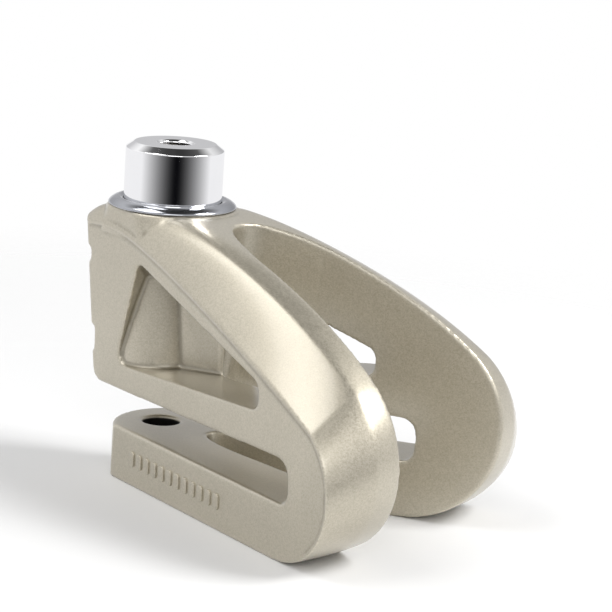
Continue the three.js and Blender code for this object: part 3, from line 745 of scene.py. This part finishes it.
DOG_RADIUS = 0.8
oxide = black_oxide()
for name, z, tip in (("guide", SCREW_HEIGHTS[0], -5.2), ("liner", SCREW_HEIGHTS[1], -6)):
    head = BACK_FACE_X - BACK_FACE_LEAN * (z - SLOT_ROOF) + BACK_GROOVE_DEPTH + 0.3
    shoulder = -LINER_RADIUS - 0.2
    screw = rod(SCREW_RADIUS, head, shoulder, z)
    rims = [e for e in screw.edges if abs((e.verts[0].co - e.verts[1].co).x) < 0.01]
    bmesh.ops.bevel(screw, geom=rims, offset=0.2, affect="EDGES", segments=3, profile=0.5, material=-1)
    screw = worked(screw, "UNION", rod(DOG_RADIUS, shoulder - 1, tip, z, 32))
    screw = worked(screw, "DIFFERENCE", rod(0.95, head - 1, head + 1.8, z, 6))
    placed(screw, name + "_set_screw", oxide, "lock", "black_steel", name + "_screw")

# ---- Key cylinder ------------------------------------------------------------------------------
# The push-down cylinder: a turned steel cap and stem in one, polished and chrome plated.

STEM_RADIUS, STEM_FOOT, CORE_BORE = 5.8, 37.1, 4.7
CAP_FOOT, CAP_TOP = 51.6, 62.8
KEY_RADIUS, CORE_TOP = 3, 61.4

shell = turned([
    (CORE_BORE, STEM_FOOT), (STEM_RADIUS, STEM_FOOT), (STEM_RADIUS, CAP_FOOT), (8.6, CAP_FOOT),
    (CYLINDER_RADIUS, CAP_FOOT + 0.4), (CYLINDER_RADIUS, CAP_TOP - 1.1), (7.5, CAP_TOP),
    (KEY_RADIUS + 0.5, CAP_TOP), (KEY_RADIUS + 0.1, CAP_TOP - 0.4), (KEY_RADIUS + 0.1, CORE_TOP + 0.05),
    (CORE_BORE, CORE_TOP + 0.05),
], steps=128, edge=0.12, closed_ring=True)
slot_half, slot_foot = DOG_RADIUS + 0.15, SCREW_HEIGHTS[0] - 1.1
guide_slot = block(
    (-STEM_RADIUS - 1, -slot_half, slot_foot),
    (-CORE_BORE - 0.4, slot_half, slot_foot + TRAVEL + 2.2),
)
sidebar_slot = block((0, -1.5, 41.42), (STEM_RADIUS + 1, 1.5, 43.4))
shell = worked(shell, "DIFFERENCE", guide_slot, sidebar_slot)
cylinder_chrome = chrome_plate("cylinder_chrome", (0.93, 0.93, 0.94, 1), 0.02)
placed(shell, "key_cylinder", cylinder_chrome, "plunger", "chrome", "plunger_shell", sharp=25)

# ---- Base, cross pin, locking pin and bolt -----------------------------------------------------
# The pin is hardened steel, ground all over and chamfered at its tip, and is pinned into the base.

PIN_TIP = 18.2

pin = turned([
    (0, PIN_TIP), (PIN_RADIUS - 0.8, PIN_TIP), (PIN_RADIUS, PIN_TIP + 0.8), (PIN_RADIUS, STEM_FOOT + 2.7),
    (0, STEM_FOOT + 2.7),
], edge=0.15)
cross_hole = rod(0.65, -STEM_RADIUS, STEM_RADIUS, STEM_FOOT + 1.4, 24)
bmesh.ops.rotate(cross_hole, matrix=Matrix.Rotation(math.pi / 2, 3, "Z"), verts=cross_hole.verts)
pin = worked(pin, "DIFFERENCE", cross_hole)
hard_steel = ground_steel("hardened_steel", (0.48, 0.48, 0.5))
placed(pin, "hardened_pin", hard_steel, "plunger", "steel", "locking_pin")
keep(steel, "plunger_base", "base_cross_pin", "locking_bolt")

# ---- Disc-detainer core ------------------------------------------------------------------------
# A turned, nickelled brass barrel that the key turns, given a dark grey as painted shade for the deep
# keyway, with stamped brass discs and steel spacers between them, a steel sidebar and a steel tail.


def stamped_brass():
    material, wire = finish("stamped_brass")
    grain = cloudy(wire, 0.3 * mm, 3)
    tarnish = cloudy(wire, 2.5 * mm, 4)
    coated(wire, {
        "Base Color": tinted(wire, tarnish, (0.5, 0.36, 0.15, 1), (0.74, 0.57, 0.29, 1)),
        "Metallic": 1,
        "Roughness": spread(wire, grain * 0.5 + tarnish * 0.5, 0.3, 0.7, 0.24, 0.4),
        "Normal": bumped(wire, grain, 0.004 * mm),
    })
    return material


keep(stamped_brass(), *[f"detainer_disc_{i}" for i in range(1, 8)])
# The core barrel's dark grey is painted shade for the deep keyway.
keep(ground_steel("keyway_shaded_nickel", (0.2, 0.19, 0.175)), "core_barrel")
keep(steel, "core_tail", "sidebar", *[f"disc_spacer_{i}" for i in range(1, 7)])

# ---- Floor and light ---------------------------------------------------------------------------
# A round white table top that fades into a white studio, and a black flag low beside the camera.

FLOOR_RADIUS, FLOOR_FADE = 0.24, 0.1
FLAG_SIDE = math.radians(9)  # the flag stands this far to the camera's right

floor = bmesh.new()
bmesh.ops.create_circle(floor, cap_ends=True, segments=96, radius=FLOOR_RADIUS)
floor_mesh = bpy.data.meshes.new("floor")
floor.to_mesh(floor_mesh)
floor.free()
floor_piece = bpy.data.objects.new("floor", floor_mesh)
bpy.context.scene.collection.objects.link(floor_piece)
white, wire = finish("white_table")
reach = wire.node("VectorMath", {"operation": "LENGTH"}, {0: spot(wire)}, "Value")
coated(wire, {
    "Base Color": (0.8, 0.8, 0.8, 1),
    "Roughness": 0.7,
    "Alpha": spread(wire, reach, FLOOR_FADE, FLOOR_RADIUS, 1, 0),
})
floor_mesh.materials.append(white)

world = bpy.data.worlds.new("studio")
bpy.context.scene.world = world
world.use_nodes = True
world.node_tree.nodes.clear()
sky = Wire(world.node_tree)
ray = sky.node("TexCoord", {}, {}, "Generated")
level = sky.node("VectorMath", {"operation": "MULTIPLY"}, {0: ray, 1: (1, 1, 0)})
heading = sky.node("VectorMath", {"operation": "NORMALIZE"}, {0: level})


def facing(bearing):
    way = (math.sin(bearing), -math.cos(bearing), 0)
    return sky.node("VectorMath", {"operation": "DOT_PRODUCT"}, {0: heading, 1: way}, "Value")


height = sky.node("SeparateXYZ", {}, {"Vector": ray}, "Z")
flag = spread(sky, facing(AZIMUTH + FLAG_SIDE), 0.05, 1.0, 0, 1) * spread(sky, height, -0.05, 0.15, 1, 0)
behind = spread(sky, facing(AZIMUTH), -0.9, -0.3, 1, 0) * spread(sky, height, 0.05, 0.1, 0, 1)
behind = behind * spread(sky, height, 0.3, 0.7, 1, 0)
walls = sky.node("ValToRGB", {"stops": [
    (0.0, (0.8, 0.8, 0.82, 1)), (0.45, (0.9, 0.9, 0.91, 1)), (0.6, (0.78, 0.78, 0.79, 1)),
    (0.82, (0.85, 0.85, 0.85, 1)), (0.93, (0.1, 0.1, 0.1, 1)), (0.99, (0.04, 0.04, 0.04, 1)),
]}, {"Fac": height * 0.5 + 0.5})
backed = tinted(sky, behind * 0.6, walls, (0.3, 0.3, 0.31, 1))
dimmed = tinted(sky, flag, backed, (0.004, 0.004, 0.005, 1))
left = spread(sky, facing(AZIMUTH + math.pi / 2), -0.2, 0.2, 1, 0) * spread(sky, height, 0, 0.05, 0, 1)
studio = sky.node("Background", {}, {"Color": dimmed, "Strength": left * 0.2 + 1})
plain = sky.node("Background", {}, {"Color": (1, 1, 1, 1), "Strength": 1})
seen = sky.node("LightPath", {}, {}, "Is Camera Ray")
shown = sky.node("MixShader", {}, {0: seen, 1: studio, 2: plain})
sky.node("OutputWorld", {}, {"Surface": shown})


def softbox(name, place, target, size, power):
    lamp = bpy.data.lights.new(name, "AREA")
    lamp.shape, lamp.size, lamp.size_y = "RECTANGLE", *size
    lamp.energy = power
    box = bpy.data.objects.new(name, lamp)
    way = Vector(target) - Vector(place)
    box.matrix_world = Matrix.Translation(place) @ way.to_track_quat("-Z", "Y").to_matrix().to_4x4()
    bpy.context.scene.collection.objects.link(box)


softbox("top_box", (-0.18, -0.24, 0.62), (0.02, 0, 0.03), (0.4, 0.3), 1.35)
softbox("right_box", (0.5, 0.25, 0.6), (0.03, 0, 0.03), (0.3, 0.3), 5)
softbox("front_box", (0.5, -0.6, 0.45), (0.03, 0, 0.03), (0.5, 0.25), 1.2)

bpy.context.scene.view_settings.view_transform = "Standard"
